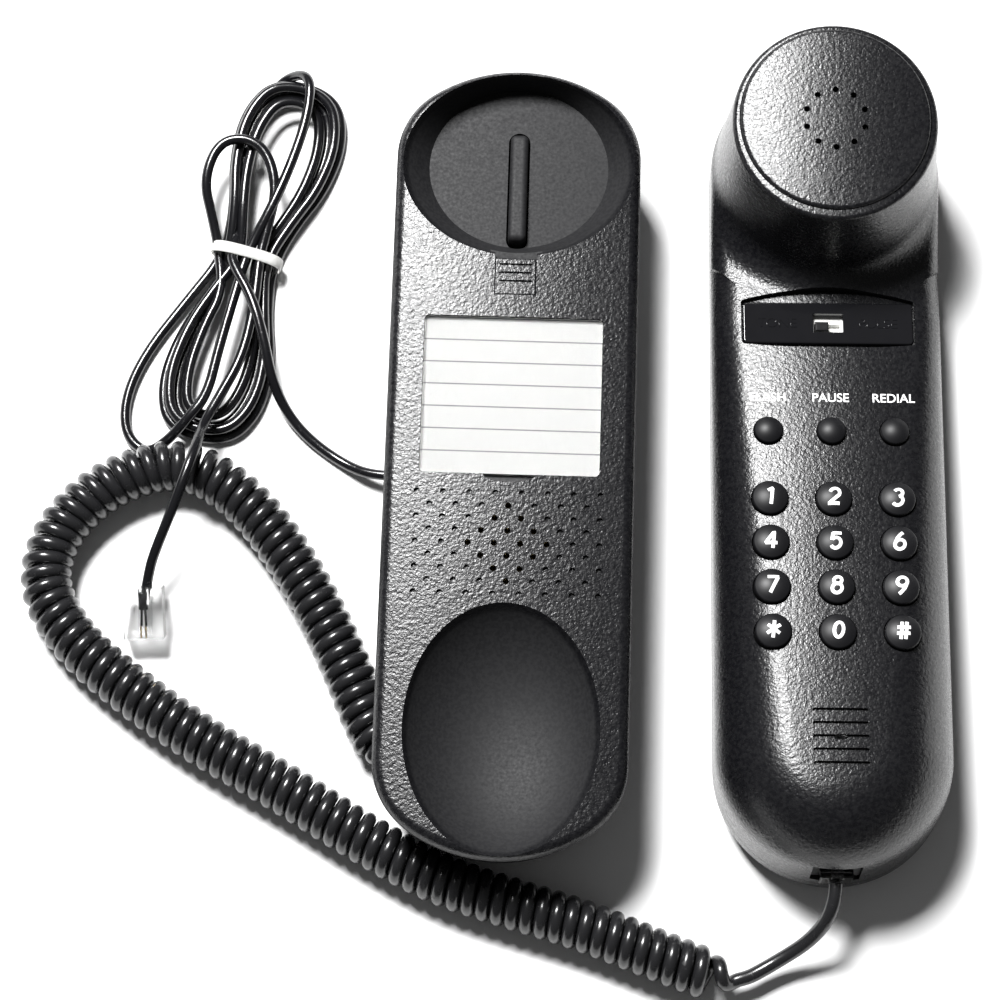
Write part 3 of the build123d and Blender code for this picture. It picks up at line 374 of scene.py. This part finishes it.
def guided_curve(name, points):
    """A smooth curve that a list of points in millimetres guides."""
    curve = bpy.data.curves.new(name, "CURVE")
    curve.dimensions = "3D"
    curve.resolution_u = 12
    spline = curve.splines.new("NURBS")
    spline.points.add(len(points) - 1)
    for point, place in zip(spline.points, points):
        point.co = (*[MM * c for c in place], 1)
    spline.order_u = 3
    spline.use_endpoint_u = True
    return curve


def lengths_along(path):
    """The distance from the path's start to each of its points."""
    total, found = 0.0, [0.0]
    for a, b in zip(path, path[1:]):
        total += (b - a).length
        found.append(total)
    return found


def at_distance(path, lengths, distance):
    """The point on a path a distance along it."""
    distance = min(max(distance, 0.0), lengths[-1])
    low, high = 0, len(lengths) - 1
    while high - low > 1:
        middle = (low + high) // 2
        if lengths[middle] <= distance:
            low = middle
        else:
            high = middle
    share = (distance - lengths[low]) / max(lengths[high] - lengths[low], 1e-9)
    return path[low].lerp(path[high], share)


def tube_mesh(name, path, radius, sides=12):
    """A closed tube round a path, with rings that don't twist."""
    made = bmesh.new()
    ahead = (path[1] - path[0]).normalized()
    across = ahead.orthogonal().normalized()
    rings = []
    for number, point in enumerate(path):
        after = path[min(number + 1, len(path) - 1)]
        before = path[max(number - 1, 0)]
        ahead = (after - before).normalized()
        across = (across - ahead * across.dot(ahead)).normalized()
        up = ahead.cross(across)
        turns = [tau * n / sides for n in range(sides)]
        rings.append([made.verts.new(point + (across * cos(t) + up * sin(t)) * radius) for t in turns])
    for first, second in zip(rings, rings[1:]):
        for n in range(sides):
            made.faces.new((first[n - 1], first[n], second[n], second[n - 1])).smooth = True
    made.faces.new(rings[0])
    made.faces.new(reversed(rings[-1]))
    bmesh.ops.recalc_face_normals(made, faces=made.faces)
    mesh = bpy.data.meshes.new(name)
    made.to_mesh(mesh)
    return mesh


# ======== curly cord ========
COIL_Z = 6.45
WIRE_RADIUS = 1.7 * MM
COIL_RADIUS = 4.6 * MM
COIL_PITCH = 3.55 * MM
COIL_END = 327 * MM  # how far along the route the turns begin to open out
OPENING = 10 * MM
CLOSING = 4 * MM
TURN_STEPS = 20
TAIL_STEP = 1.2 * MM
coil_route = [
    (-26.35, -71.2, COIL_Z),
    (-31.2, -64.3, COIL_Z),
    (-38.6, -46.5, COIL_Z),
    (-50.0, -25.5, COIL_Z),
    (-63.5, -8.0, COIL_Z),
    (-79.5, 1.5, COIL_Z),
    (-97.0, -3.8, COIL_Z),
    (-109.5, -16.5, COIL_Z),
    (-112.5, -31.0, COIL_Z),
    (-104.5, -44.0, COIL_Z),
    (-90.5, -55.5, COIL_Z),
    (-71.5, -68.0, COIL_Z),
    (-51.5, -78.5, COIL_Z),
    (-34.5, -88.6, COIL_Z),
    (-15.5, -98.8, COIL_Z),
    (2.0, -104.0, COIL_Z),
    (19.5, -108.6, COIL_Z),
    (36.0, -114.6, COIL_Z),
    (47.0, -118.4, COIL_Z - 0.3),
    (56.5, -121.6, 5.2),
    (66.5, -115.8, 5.0),
    (74.6, -110.6, 9.6),
    (78.7, -104.2, 16.6),
    (78.8, -98.6, 16.6),
]


def coil_path():
    """The cord's own line: turns round its route, closed at the start and open at the end."""
    route = smooth_route(coil_route)
    lengths = lengths_along(route)
    points = []
    distance, phase, side = 0.0, 0.0, Vector((0, 0, 1))
    while distance < lengths[-1]:
        opening = min(max((distance - COIL_END) / OPENING, 0.0), 1.0)
        closing = min(distance / CLOSING, 1.0)
        pitch = COIL_PITCH * (1 + 3.0 * opening)
        radius = COIL_RADIUS * (1 - opening * opening * (3 - 2 * opening)) * closing
        here = at_distance(route, lengths, distance)
        after = at_distance(route, lengths, distance + 0.5 * MM)
        before = at_distance(route, lengths, distance - 0.5 * MM)
        ahead = after - before
        ahead.normalize()
        side = (side - ahead * side.dot(ahead)).normalized()
        other = ahead.cross(side)
        points.append(here + (side * cos(phase) + other * sin(phase)) * radius)
        if opening < 1:
            distance += pitch / TURN_STEPS
            phase += tau / TURN_STEPS
        else:
            distance += TAIL_STEP
    return [*points, route[-1]]


def curly_cord():
    """The coiled cord, which stretches between the base and the handset."""
    path = coil_path()
    curly = piece("curly_cord", tube_mesh("curly_cord", path, WIRE_RADIUS), curly_pvc)
    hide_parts("coil_cord", "coil_cord_tail")
    lengths_along(path)[-1]
    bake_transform(curly)


curly_cord()


# ======== line cord ========
LINE_RADIUS = 1.3 * MM
TIE_MIDDLE = Vector((-67.2, 55.1, 0))
TIE_TURN = radians(-14.2)


def from_tie(across, along, height):
    """A place in the hank, from across and along it at its tie, in millimetres."""
    turned = Matrix.Rotation(TIE_TURN, 3, "Z") @ Vector((across, along, height))
    return tuple(TIE_MIDDLE + turned)


def lobe(side, left, right, reach, left_height, right_height, end):
    """One turn of the hank, out to its reach and back to the tie, clockwise seen from above."""
    if side == "upper":
        limbs = [(left, left_height, 1), (right, right_height, 1)]
    else:
        limbs = [(right, right_height, -1), (left, left_height, -1)]
    (first, first_height, sign), (last, last_height, sign) = limbs
    top_height = max(first_height, last_height)
    middle = (first + last) / 2
    points = [
        (first * 0.62, 0.26, first_height),
        (first * 0.96, 0.52, first_height),
        (first * 1.04, 0.8, first_height),
        (middle + (first - middle) * 0.62, 1.02, first_height),
        (middle + (last - middle) * 0.62, 1.03, (top_height + last_height) / 2),
        (last * 1.04, 0.8, last_height),
        (last * 0.98, 0.5, last_height),
        (last * 0.64, 0.25, last_height),
    ]
    return [from_tie(u, sign * v * reach, z) for u, v, z in points] + [from_tie(end[0], 0, end[1])]


line_route = [
    (-28.0, -0.5, 5.0),
    (-33.5, -0.5, 4.4),
    (-41.0, 3.0, 1.4),
    (-50.0, 9.2, 1.4),
    (-56.0, 16.0, 3.0),
    (-59.6, 23.5, 7.6),
    (-61.5, 32.0, 9.4),
    (-65.0, 43.0, 9.6),
    from_tie(-3.1, -3.0, 7.6),
    from_tie(-3.3, 0, 6.9),
]
line_route += lobe("upper", -8.6, 4.2, 48.5, 1.4, 9.4, (0, 6.8))
line_route += [
    from_tie(*place)
    for place in [
        (0.4, -12.0, 7.4),
        (0.8, -26.0, 7.4),
        (1.6, -38.0, 7.2),
        (-1.4, -45.0, 6.9),
        (-5.0, -51.0, 3.4),
        (-9.5, -55.0, 1.4),
        (-16.0, -51.5, 1.4),
        (-18.8, -42.0, 1.4),
        (-17.2, -29.5, 1.4),
        (-11.5, -14.0, 1.4),
        (-6.2, 0.0, 1.5),
    ]
]
line_route += lobe("upper", -11.6, 13.2, 46.6, 4.1, 1.4, (6.2, 1.5))
line_route += lobe("lower", -10.8, 13.8, 46.0, 1.4, 1.4, (-3.1, 1.5))
line_route += lobe("upper", -9.0, 10.4, 43.8, 4.1, 1.4, (3.1, 1.5))
line_route += lobe("lower", -7.6, 10.6, 43.0, 1.4, 1.4, (-4.7, 4.1))
line_route += lobe("upper", -10.6, 12.0, 45.2, 6.8, 4.1, (4.7, 4.1))
line_route += lobe("lower", -9.2, 12.4, 44.6, 4.1, 4.1, (-1.6, 4.1))
line_route += lobe("upper", -7.0, 8.4, 41.4, 6.8, 4.1, (1.6, 4.1))
line_route += lobe("lower", -5.2, 8.6, 41.0, 4.1, 4.1, (-7.5, 4.2))
line_route += [
    from_tie(*place)
    for place in [
        (-11.2, 7.0, 6.0),
        (-15.8, 15.0, 9.0),
        (-15.2, 25.5, 9.5),
        (-8.5, 28.8, 9.8),
        (-2.0, 26.0, 9.5),
        (2.6, 17.5, 9.2),
        (3.2, 7.0, 7.6),
        (3.3, 0.0, 6.9),
        (6.0, -13.0, 7.2),
        (7.0, -26.0, 7.4),
        (5.0, -37.0, 8.4),
    ]
]
line_route += [
    (-75.3, 9.6, 10.0),
    (-75.8, 3.8, 14.8),
    (-76.9, -1.5, 17.4),
    (-78.9, -8.0, 17.2),
    (-81.4, -15.0, 15.2),
    (-84.4, -22.0, 11.9),
    (-86.3, -27.0, 8.9),
    (-87.3, -33.5, 5.6),
]
PLUG = (
    Matrix.Translation(Vector((-86.9, -41.5, 0.35)))
    @ Matrix.Rotation(radians(3.7), 4, "Z")
    @ Matrix.Rotation(radians(21), 4, "X")
)
CRIMP_RADIUS = 1.15 * MM
CONDUCTOR_RADIUS = 0.3 * MM


def in_plug(*path):
    """Places in the line plug, in millimetres from the middle of its nose."""
    return [PLUG @ Vector(place) * MM for place in path]


def crimped_cord():
    """The cord's flattened end under the plug's bar, and its two conductors to the contacts."""
    crimp = in_plug((0, 11.4, 3.9), (0, 9.0, 3.7), (0, 7.2, 3.6))
    meshes = [tube_mesh("crimp", crimp, CRIMP_RADIUS)]
    for side in (-1, 1):
        path = in_plug((0.4 * side, 7.4, 3.6), (0.5 * side, 5.5, 3.6), (0.55 * side, 3.4, 4.2))
        meshes.append(tube_mesh("conductor", path, CONDUCTOR_RADIUS, 8))
    for number, mesh in enumerate(meshes):
        piece(f"plug_wire_{number}", mesh, line_pvc, "base")


def line_cord_curve():
    """The round cord, from the base through the hank to its plug."""
    line = bpy.data.objects.new("line_cord_curve", guided_curve("line_cord_curve", line_route))
    line.data.bevel_depth = LINE_RADIUS
    line.data.bevel_resolution = 4
    line.data.use_fill_caps = True
    bpy.context.scene.collection.objects.link(line)
    line.data.materials.append(line_pvc)
    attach(line, "base")
    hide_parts("line_cord", "line_cord_hank", "line_cord_tail")
    return line


def signed_power(value, power):
    """A value's size raised to a power, with its own sign."""
    return abs(value) ** power * (1 if value >= 0 else -1)


def tie_band():
    """A flat plastic band wrapped round the hank, a little arched."""
    steps = 48
    half_width, middle_height, half_height = 8.9, 4.55, 4.25
    profile = ((-1.45, 0.0), (-1.3, 0.16), (0.0, 0.24), (1.3, 0.16), (1.45, 0.0))
    made = bmesh.new()
    rows = []
    for n in range(steps):
        turn = tau * n / steps
        across = half_width * signed_power(cos(turn), 0.7) - 0.1
        height = middle_height + half_height * signed_power(sin(turn), 0.8)
        out = Vector((cos(turn), 0, sin(turn)))
        places = [Vector((across, along, max(height, 0.35))) + out * lift for along, lift in profile]
        rows.append([made.verts.new(place) for place in places])
    for first, second in zip(rows, rows[1:] + rows[:1]):
        for a in range(4):
            made.faces.new((first[a], first[a + 1], second[a + 1], second[a])).smooth = True
    bmesh.ops.solidify(made, geom=made.faces[:], thickness=0.3)
    made.transform(
        Matrix.Scale(MM, 4) @ Matrix.Translation(TIE_MIDDLE) @ Matrix.Rotation(TIE_TURN, 4, "Z")
    )
    bmesh.ops.recalc_face_normals(made, faces=made.faces)
    mesh = bpy.data.meshes.new("tie_band")
    made.to_mesh(mesh)
    tie = piece("tie_band", mesh, white, "base")
    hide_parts("twist_tie")
    return tie


crimped_cord()
line = line_cord_curve()
tie = tie_band()
lengths_along(smooth_route(line_route))[-1]


# ======== lettering ========
CAPITALS = 1.38  # a font's size over the height of its capitals
SIGN_WIDTH = 3.7 * MM
SIGN_HEIGHT = 4.6 * MM
SIGN_SLANT = 0.5 * MM
STROKE_HALF_WIDTH = 0.4 * MM
STROKE_STEP = 0.2 * MM
STROKE_LIFT = 0.03 * MM
LABEL_HEIGHT = 2.3 * MM
LABEL_RISE = 8.9 * MM
RAISED_HEIGHT = 2.6 * MM
def lettering(name, text, height, place, look, body, weight=0.0, thickness=0.04 * MM):
    """Generic letters as a thin mesh on the handset's face."""
    curve = bpy.data.curves.new(name, "FONT")
    curve.body = text
    curve.size = height * CAPITALS
    curve.align_x = "CENTER"
    curve.align_y = "CENTER"
    curve.offset = weight
    curve.extrude = thickness
    mesh = bpy.data.meshes.new_from_object(bpy.data.objects.new(name, curve))
    made = bmesh.new()
    made.from_mesh(mesh)
    middle = (min(v.co.y for v in made.verts) + max(v.co.y for v in made.verts)) / 2
    for v in made.verts:
        v.co.y -= middle
    bmesh.ops.triangulate(made, faces=made.faces)
    made.transform(FACE @ Matrix.Translation(place))
    made.to_mesh(mesh)
    return piece(name, mesh, look, body)


def dome(radius):
    """Height of a key's dome over its shoulder, away from its middle."""
    rise = KEY_RISE - KEY_SHOULDER
    ball = (radius * radius + rise * rise) / (2 * rise)
    return lambda x, y: sqrt(ball * ball - x * x - y * y) - ball + rise


def arc(x, y, wide, tall, start, end):
    """Points round part of an oval, from one angle to another in degrees."""
    steps = 16
    turns = [radians(start + (end - start) * n / steps) for n in range(steps + 1)]
    return [(x + wide * cos(t), y + tall * sin(t)) for t in turns]


# each sign's strokes, in a frame one wide and one tall
SIX = [arc(0, -0.2, 0.32, 0.25, 0, 360), [(-0.31, -0.14), (-0.2, 0.14), (0.0, 0.36), (0.14, 0.46)]]
SIGNS = {
    "1": [[(-0.2, 0.28), (0.08, 0.42), (0.08, -0.46)]],
    "2": [arc(0, 0.18, 0.31, 0.26, 165, -30) + [(-0.3, -0.38)], [(-0.38, -0.39), (0.36, -0.39)]],
    "3": [arc(-0.02, 0.21, 0.27, 0.21, 150, -80), arc(-0.02, -0.2, 0.32, 0.25, 75, -150)],
    "4": [[(0.12, -0.46), (0.12, 0.42), (-0.36, -0.19), (0.38, -0.19)]],
    "5": [[(0.32, 0.39), (-0.22, 0.39), (-0.26, 0.0)], arc(0, -0.15, 0.32, 0.28, 140, -150)],
    "6": SIX,
    "7": [[(-0.36, 0.39), (0.36, 0.39)], [(0.3, 0.36), (-0.1, -0.46)]],
    "8": [arc(0, 0.23, 0.25, 0.2, 0, 360), arc(0, -0.19, 0.31, 0.25, 0, 360)],
    "9": [[(-x, -y) for x, y in stroke] for stroke in SIX],
    "star": [
        [(-0.46 * cos(t), -0.46 * sin(t)), (0.46 * cos(t), 0.46 * sin(t))]
        for t in (pi / 2, pi / 6, -pi / 6)
    ],
    "0": [arc(0, 0, 0.29, 0.4, 0, 360)],
    "hash": [
        [(-0.14, -0.46), (-0.14, 0.46)],
        [(0.16, -0.46), (0.16, 0.46)],
        [(-0.42, 0.16), (0.42, 0.16)],
        [(-0.42, -0.16), (0.42, -0.16)],
    ],
}


def stroke_rows(made, path, over):
    """Rows of four points across a bold stroke that lies on a dome."""
    steps = len(path) - 1
    closed = (path[0] - path[-1]).length < 0.01 * MM
    rows = []
    for n, point in enumerate(path):
        after = path[1] if closed and n == steps else path[min(n + 1, steps)]
        before = path[-2] if closed and n == 0 else path[max(n - 1, 0)]
        ahead = (after - before).normalized()
        side = Vector((-ahead.y, ahead.x, 0)) * STROKE_HALF_WIDTH
        spots = [point + side * share for share in (-1, -0.33, 0.33, 1)]
        rows.append([made.verts.new((s.x, s.y, over(s.x, s.y) + STROKE_LIFT)) for s in spots])
    return rows


def key_sign(name, strokes):
    """A sign printed over a key's dome in slightly slanting bold strokes."""
    row, column = divmod(list(SIGNS).index(name), 3)
    place = Vector(((column - 1) * KEY_PITCH_X, TOP_ROW_Y - row * KEY_PITCH_Y, KEY_SHOULDER))
    over = dome(KEY_RADIUS)
    made = bmesh.new()
    for stroke in strokes:
        path = [Vector((SIGN_WIDTH * x + SIGN_SLANT * y, SIGN_HEIGHT * y, 0)) for x, y in stroke]
        lengths = lengths_along(path)
        steps = max(int(lengths[-1] / STROKE_STEP), 2)
        path = [at_distance(path, lengths, lengths[-1] * n / steps) for n in range(steps + 1)]
        rows = stroke_rows(made, path, over)
        for first, second in zip(rows, rows[1:]):
            for n in range(3):
                made.faces.new((first[n], second[n], second[n + 1], first[n + 1])).smooth = True
    made.transform(FACE @ Matrix.Translation(place))
    mesh = bpy.data.meshes.new(f"sign_{name}")
    made.to_mesh(mesh)
    piece(f"sign_{name}", mesh, printed, f"key_{name}")


def function_label(column, word):
    """A word printed above one of the three function keys."""
    place = Vector(((column - 1) * KEY_PITCH_X, FUNCTION_ROW_Y + LABEL_RISE, 0.0))
    name = f"label_{word.lower()}"
    label = lettering(name, word, LABEL_HEIGHT, place, printed, "handset", weight=0.03 * MM)


def raised_word(word, across):
    """A word moulded proud of the dial switch's plate."""
    place = Vector((across * MM, PLATE_Y, PLATE_TOP))
    name = f"raised_{word.lower()}"
    raised = lettering(name, word, RAISED_HEIGHT, place, polished, "handset", thickness=0.12 * MM)


for name, strokes in SIGNS.items():
    key_sign(name, strokes)
for column, word in enumerate(["FLASH", "PAUSE", "REDIAL"]):
    function_label(column, word)
raised_word("TONE", -12.4)
raised_word("PULSE", 12.2)


# ======== floor, light and camera ========
def floor():
    bpy.ops.mesh.primitive_plane_add(size=6, location=(0, 0, -0.0001))
    made = bpy.context.object
    made.name = "floor"
    look = Look("white_floor", (0.95, 0.95, 0.95), 0.9, Specular_IOR_Level=0.1)
    look.give("Base Color", look.mix(look.noise(0.3, 2), (0.95, 0.95, 0.95), (0.94, 0.94, 0.94)))
    made.data.materials.append(look.material)


def key_light():
    """One soft square light, high beyond the base's left corner."""
    light = bpy.data.lights.new("key_light", "AREA")
    light.shape = "RECTANGLE"
    light.size, light.size_y = 0.36, 0.36
    light.energy = 42
    made = bpy.data.objects.new("key_light", light)
    made.location = (-0.34, 0.56, 1.05)
    made.rotation_euler = (Vector((0, 0, 0)) - Vector(made.location)).to_track_quat("-Z", "Y").to_euler()
    bpy.context.scene.collection.objects.link(made)


def studio():
    """A dim white surround."""
    world = bpy.data.worlds.new("studio")
    world.use_nodes = True
    background = world.node_tree.nodes["Background"]
    background.inputs["Color"].default_value = (1, 1, 1, 1)
    background.inputs["Strength"].default_value = 0.09
    bpy.context.scene.world = world
    bpy.context.scene.view_settings.view_transform = "Standard"


def camera():
    """Looks down from the mouth end, turned a little with the base."""
    data = bpy.data.cameras.new("camera")
    data.sensor_width = 36
    data.lens = 108
    made = bpy.data.objects.new("camera", data)
    bpy.context.scene.collection.objects.link(made)
    place = Vector((3.8, -195.4, 712.8)) * MM
    aim = Vector((-2.2, -4.5, 0)) * MM
    roll = radians(1.8)
    backward = (place - aim).normalized()
    right = Vector((cos(roll), sin(roll), 0))
    right = (right - backward * right.dot(backward)).normalized()
    turn = Matrix((right, backward.cross(right), backward)).transposed().to_4x4()
    made.matrix_world = Matrix.Translation(place) @ turn
    bpy.context.scene.camera = made


floor()
key_light()
studio()
camera()
